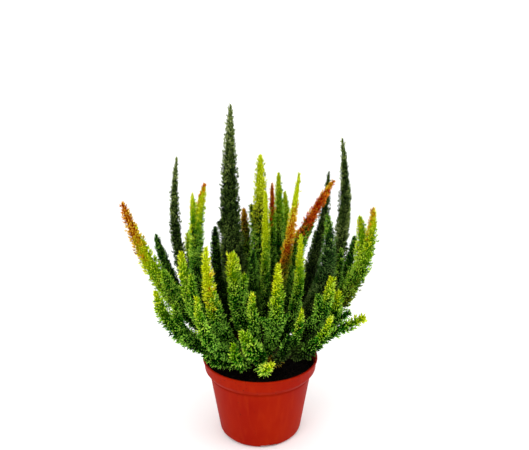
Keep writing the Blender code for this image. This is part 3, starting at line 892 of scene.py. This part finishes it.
# How a shoot's tints follow each other, from its leafy foot at 0 to its tip at 1
RIPENINGS = {
    "dark": {0.0: "black_green", 1.0: "dark_green"},
    "dark_pale": {
        0.0: "black_green", 0.5: "dark_green", 0.72: "dark_green", 0.84: "grey_green", 0.96: "pale_grey",
    },
    "dark_light": {
        0.0: "black_green", 0.4: "dark_green", 0.6: "moss_green", 0.85: "moss_green", 1.0: "fresh_green",
    },
    "dark_patched": {
        0.0: "black_green", 0.45: "dark_green", 0.6: "grey_green", 0.7: "dark_green",
        0.82: "dark_green", 0.92: "grey_green", 1.0: "pale_grey",
    },
    "green": {0.0: "deep_green", 0.6: "deep_green", 1.0: "fresh_green"},
    "green_shaded": {0.0: "black_green", 0.4: "shade_green", 1.0: "deep_green"},
    "green_young": {0.2: "deep_green", 0.65: "fresh_green", 1.0: "lime"},
    "green_lime_tip": {0.3: "deep_green", 0.66: "fresh_green", 0.9: "lime", 1.0: "yellow"},
    "green_orange_tip": {
        0.1: "shade_green", 0.5: "deep_green", 0.66: "fresh_green", 0.76: "lime",
        0.86: "yellow", 0.95: "yellow", 0.99: "orange",
    },
    # The black-green and shade-green of this shoot are painted shade in the hollow where it stands.
    "green_shaded_foot": {
        0.0: "brown", 0.12: "brown", 0.25: "black_green", 0.5: "black_green",
        0.75: "shade_green", 1.0: "deep_green",
    },
    "lime": {0.25: "deep_green", 0.58: "fresh_green", 0.84: "lime", 1.0: "yellow"},
    "lime_young": {0.1: "deep_green", 0.45: "fresh_green", 0.75: "lime", 1.0: "yellow"},
    "lime_late": {0.25: "deep_green", 0.6: "fresh_green", 0.84: "lime", 0.98: "yellow"},
    # The black-green and shade-green at the foot are painted shade low among the shoots.
    "lime_shaded_foot": {
        0.2: "black_green", 0.42: "shade_green", 0.58: "deep_green", 0.74: "fresh_green",
        0.88: "lime", 1.0: "yellow",
    },
    "yellow": {0.3: "deep_green", 0.56: "fresh_green", 0.73: "lime", 0.86: "yellow"},
    "yellow_high": {
        0.1: "shade_green", 0.3: "deep_green", 0.45: "fresh_green", 0.6: "lime", 0.74: "yellow",
    },
    "yellow_top": {
        0.1: "shade_green", 0.35: "deep_green", 0.55: "fresh_green", 0.67: "olive", 0.77: "yellow",
    },
    "yellow_tinted": {
        0.25: "deep_green", 0.46: "fresh_green", 0.58: "lime", 0.62: "yellow",
        0.65: "gold", 0.69: "yellow",
    },
    "yellow_over_rust": {
        0.2: "shade_green", 0.38: "olive", 0.5: "brown", 0.6: "orange",
        0.66: "gold", 0.76: "gold", 0.84: "yellow",
    },
    "gold": {
        0.2: "deep_green", 0.42: "fresh_green", 0.58: "lime", 0.7: "yellow",
        0.8: "gold", 1.0: "orange",
    },
    "gold_lime": {
        0.1: "deep_green", 0.26: "fresh_green", 0.34: "olive", 0.42: "olive",
        0.52: "fresh_green", 0.8: "lime", 0.9: "yellow", 1.0: "gold",
    },
    "rust": {
        0.1: "shade_green", 0.3: "deep_green", 0.55: "fresh_green", 0.64: "olive",
        0.72: "rust", 0.88: "rust", 1.0: "gold",
    },
    "rust_tip": {
        0.1: "shade_green", 0.3: "deep_green", 0.6: "fresh_green", 0.74: "lime",
        0.82: "rust", 0.96: "orange",
    },
    "brown": {
        0.1: "shade_green", 0.3: "deep_green", 0.6: "fresh_green", 0.76: "olive",
        0.88: "brown", 1.0: "gold",
    },
}


def leaf_reach(share, radius, taper):
    """How far the leaves stand out at a share of the leafy stretch.

    It grows evenly from the foot to full width and stays so. The last stretch, of the taper's share,
    narrows by the taper's power of what is left of it: the smaller the power, the blunter the tip.
    """
    foot = FOOT_SHARE + (1.0 - FOOT_SHARE) * np.clip(share / WIDEST_AT, 0.0, 1.0)
    left = np.clip((1.0 - share) / TAPER_SHARE, 0.0, 1.0)
    return np.maximum(radius * foot * left**taper, LEAST_REACH)


def leaf_tuft():
    """One tuft up Z: points, faces, and how pale each point is, from 0 to 1.

    A thin three-sided spike carries three leaves that lean out and an upright bud. A leaf runs from
    its base over three points at its widest place (left, right and keel) to its tip.
    """
    count = LEAVES_ROUND + 1
    turn = np.append(np.arange(LEAVES_ROUND) * math.tau / LEAVES_ROUND, BUD_TURN)
    lean = np.append(np.full(LEAVES_ROUND, LEAF_LEAN), 0.0)[:, None]
    place = np.append(np.full(LEAVES_ROUND, LEAF_PLACE), BUD_PLACE)[:, None]
    out = np.stack([np.cos(turn), np.sin(turn), 0 * turn], axis=1)
    side = np.stack([-np.sin(turn), np.cos(turn), 0 * turn], axis=1)
    up = np.array([0.0, 0.0, 1.0])
    along = out * np.sin(lean) + up * np.cos(lean)
    under = out * np.cos(lean) - up * np.sin(lean)
    base = up * place
    middle = base + along * LEAF_LENGTH * LEAF_WIDEST
    width = side * LEAF_HALF_WIDTH
    tip = base + along * LEAF_LENGTH
    leaves = np.stack([base, middle - width, middle + width, middle + under * LEAF_KEEL, tip], axis=1)
    leaf_faces = np.array([(0, 2, 3), (0, 3, 1), (0, 1, 2), (4, 3, 2), (4, 1, 3), (4, 2, 1)])
    leaf_points = len(LEAF_PALE)
    faces = leaf_faces[None] + (np.arange(count) * leaf_points)[:, None, None]

    angle = np.arange(3) * math.tau / 3
    ring = np.stack([np.cos(angle) * SPIKE_RADIUS, np.sin(angle) * SPIKE_RADIUS, 0 * angle], axis=1)
    spike = np.concatenate([ring, [(0.0, 0.0, SPIKE_TIP)]])
    spike_faces = np.array([(0, 1, 3), (1, 2, 3), (2, 0, 3), (2, 1, 0)]) + leaf_points * count
    points = np.concatenate([leaves.reshape(-1, 3), spike])
    pale = np.concatenate([np.tile(LEAF_PALE, count), SPIKE_PALE])
    return points, np.concatenate([faces.reshape(-1, 3), spike_faces]), pale


TUFT_POINTS, TUFT_FACES, TUFT_PALE = leaf_tuft()

# The spike's three points at its foot, just before its tip, the last point
TWIG_FOOT = np.arange(len(TUFT_POINTS) - 4, len(TUFT_POINTS) - 1)


def place_tufts(spine, start, radius, taper, shares, leaf_size, draw):
    """Tufts all over a leafy stretch, each with a patch of the same size to fill.

    Their tips follow the golden angle round the stem. The number of tips below a place grows with the
    stretch's outside area up to there. The twigs lean out less and less towards the shoot's tip.
    """
    stretch = spine.length - start
    fine = np.linspace(0.0, 1.0, AREA_STEPS)
    area = np.cumsum(math.tau * leaf_reach(fine, radius, taper) * stretch / len(fine))
    count = int(area[-1] / (TUFT_PATCH * leaf_size**2))
    share = np.interp((np.arange(count) + 0.5) / count * area[-1], area, fine)
    share = share + draw.normal(0.0, PLACE_SPREAD, count) / stretch
    share = np.clip(share, 0.0, 1.0 - END_MARGIN / stretch)
    angle = np.arange(count) * GOLDEN_ANGLE + draw.uniform(0.0, math.tau)
    angle = angle + draw.normal(0.0, ANGLE_SPREAD, count)

    unrolled = np.stack([share * stretch, angle % math.tau * radius], axis=1)
    bumps = lattice_noise(unrolled, BUMP_CELL, draw)
    uneven = draw.uniform(*REACH_RANGE, count) + BUMP_DEPTH * bumps
    reach = leaf_reach(share, radius, taper) * uneven
    reach += draw.uniform(*STRAY_RANGE, count) * (draw.uniform(0.0, 1.0, count) < STRAY_SHARE)
    lean = TWIG_LEANS[0] + (TWIG_LEANS[1] - TWIG_LEANS[0]) * share
    end = start + share * stretch
    along = spine.along(end)
    outward = spine.outward(end, angle)
    tip = spine.at(end) + outward * reach[:, None]
    foot = spine.at(np.maximum(end - reach / np.tan(lean), start - TWIG_MARGIN))

    direction = tip - foot
    direction /= np.linalg.norm(direction, axis=1, keepdims=True)
    at_tip = np.clip((share - (1.0 - CLOSING_SHARE)) / CLOSING_SHARE, 0.0, 1.0)[:, None]
    direction += draw.normal(0.0, UPTURN_SPREAD, (count, 3)) + (UPTURN + at_tip) * along
    direction /= np.linalg.norm(direction, axis=1, keepdims=True)
    length = TUFT_LENGTH * leaf_size * draw.uniform(*LENGTH_RANGE, count)
    length = length * (LENGTH_AT_FOOT - LENGTH_LOSS * share)
    ripe = shares[0] + (shares[1] - shares[0]) * share
    # The painted lit side: tufts facing front left are ripened to lighter tints, those facing away to
    # darker ones.
    ripe = ripe + draw.normal(0.0, RIPE_SPREAD, count) + PAINTED_LIT_SIDE * (outward @ LIT_SIDE_DIRECTION)
    return {
        "base": tip - direction * length[:, None],
        "direction": direction,
        "length": length,
        "foot": foot,
        "ripe": ripe,
        "bumps": bumps,
    }


def tuft_mesh(tufts, draw):
    """Copies the tuft to every place: base + x across + y other + z direction, scaled to its length."""
    direction = tufts["direction"]
    count = len(direction)
    across = np.cross(direction, draw.normal(0.0, 1.0, (count, 3)))
    across /= np.linalg.norm(across, axis=1, keepdims=True)
    other = np.cross(direction, across)
    size = (tufts["length"] / TUFT_LENGTH)[:, None, None]
    x, y, z = TUFT_POINTS.T[:, None, :, None]
    points = x * across[:, None] + y * other[:, None] + z * direction[:, None]
    points = tufts["base"][:, None] + size * points
    points[:, TWIG_FOOT] += (tufts["foot"] - tufts["base"])[:, None]
    faces = TUFT_FACES[None] + (np.arange(count) * len(TUFT_POINTS))[:, None, None]
    ripe = np.clip(tufts["ripe"][:, None] + TUFT_POINTS[None, :, 0] * RIPE_ACROSS, 0.0, 1.0)
    pale = TUFT_PALE[None] + draw.normal(0.0, PALE_SPREAD, count)[:, None]
    # Painted light and shade: tufts on the bumps paler, those in the hollows darker
    pale = np.clip(pale + BUMP_LIGHT_AND_SHADE * tufts["bumps"][:, None], 0.0, 1.0)
    uv = np.stack([ripe, pale], axis=2)
    return points.reshape(-1, 3), faces.reshape(-1, 3), uv.reshape(-1, 2)


def inner_leaves(spine, start, radius, taper, shares, leaf_size, draw):
    """The inside of a leafy stretch: a lumpy sleeve of old leaves round the stem, coloured in painted
    shade.
    """
    stretch = spine.length - start - SLEEVE_MARGIN
    rings = max(SLEEVE_LEAST_RINGS, round(stretch / SLEEVE_STEP))
    share = np.linspace(0.0, 1.0, rings)
    reach = leaf_reach(share, radius, taper)
    radii = np.maximum(reach - SLEEVE_DEPTH * leaf_size, reach * SLEEVE_SHARE / leaf_size)
    radii = radii[:, None] * draw.uniform(*SLEEVE_RANGE, (rings, SLEEVE_SIDES))
    radii[[0, -1]] *= SLEEVE_END
    points, faces = swept(spine, start + share * stretch, radii)
    ripe = np.concatenate([np.repeat(share, SLEEVE_SIDES), [0.0, 1.0]])
    ripe = shares[0] + (shares[1] - shares[0]) * ripe
    ripe = ripe + draw.normal(0.0, SLEEVE_RIPE_SPREAD, len(points))
    # Paleness this low gives the sleeve the painted shade of the tints.
    pale = draw.uniform(0.0, SLEEVE_PALE, len(points))
    return points, faces, np.stack([np.clip(ripe, 0.0, 1.0), pale], axis=1)


def leaf_finish(name, ripening):
    """Leaf colours read from the piece's own map: along it the ripening, and up it the paleness, from
    painted shade through the leaf's colour to a painted highlight.
    """
    finish = Finish(name, {"Roughness": 0.6, "Specular IOR Level": 0.02})
    place = finish.node("ShaderNodeUVMap", {"uv_map": "OFBake"}, {})
    ripe = finish.axis(place, "X")
    pale = finish.axis(place, "Y")
    ramps = []
    for part in range(3):
        stops = [(share, shade(*TINTS[tint][part])) for share, tint in ripening.items()]
        ramps.append(finish.node("ShaderNodeValToRGB", {"stops": stops}, {0: ripe}))
    painted_shade_ramp, leaf, point = ramps
    # Low paleness takes the painted shade between the leaves, high paleness the painted highlight at the
    # points
    body = finish.mix(finish.between(pale, 0.12, 0.62), painted_shade_ramp, leaf)
    finish.surface("Base Color", finish.mix(finish.between(pale, 0.6, 0.95), body, point))
    return finish


def leafy_stretches(name, row):
    """The leafy stretch of a shoot and those of its side shoots: (spine, start, radius, taper, shares).

    shares says which part of the shoot's ripening the stretch runs through. A side shoot's starts where
    it leaves the shoot, and ends by how high its tip stands, a little behind the shoot itself.
    """
    slot, _, radius, bare, knee, tip, side_shoots = row
    taper = BLUNT_TIPS.get(name, TAPER_POWERS[slot])
    spine = Spine(SHOOT_ROOT, knee, tip)
    stretches = [(spine, bare, radius, taper, (0.0, 1.0))]
    foot_height = spine.at(np.array([float(bare)]))[0, 2]
    for share, side_tip in side_shoots:
        leaves_at = (spine.lengths[round(share * SPINE_SAMPLES)] - bare) / (spine.length - bare)
        rise = (side_tip[2] - foot_height) / (tip[2] - foot_height)
        ripe = (leaves_at, min(1.0, rise - SIDE_TIP_LAG))
        side = side_spine(spine, share, side_tip)
        stretches.append((side, 0.0, SIDE_SHOOT_SHARE * radius, taper, ripe))
    return stretches


def leafy_piece(name, row, draw):
    """One leafy shoot with its side shoots as a single mesh."""
    leaf_size = LEAF_SIZES.get(name, 1.0)
    points, faces, maps, before = [], [], [], 0
    for stretch in leafy_stretches(name, row):
        tufts = place_tufts(*stretch, leaf_size, draw)
        for made in (tuft_mesh(tufts, draw), inner_leaves(*stretch, leaf_size, draw)):
            points.append(made[0])
            faces.append(made[1] + before)
            maps.append(made[2])
            before += len(made[0])
    corners = np.concatenate(faces)
    finish = leaf_finish(f"{name} leaves", RIPENINGS[row[1]])
    piece = new_piece(f"leafy_{name}", np.concatenate(points) * MM, corners, finish)
    layer = piece.data.uv_layers.new(name="OFBake")
    corner_map = np.concatenate(maps)[corners.ravel()]
    layer.uv.foreach_set("vector", np.ascontiguousarray(corner_map, np.float32).ravel())
    return piece


for number, (shoot_name, shoot_row) in enumerate(SHOOTS.items()):
    leafy = leafy_piece(shoot_name, shoot_row, np.random.default_rng(100 + number))
    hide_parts(f"shoot_{shoot_name}")
    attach(leafy, "root")
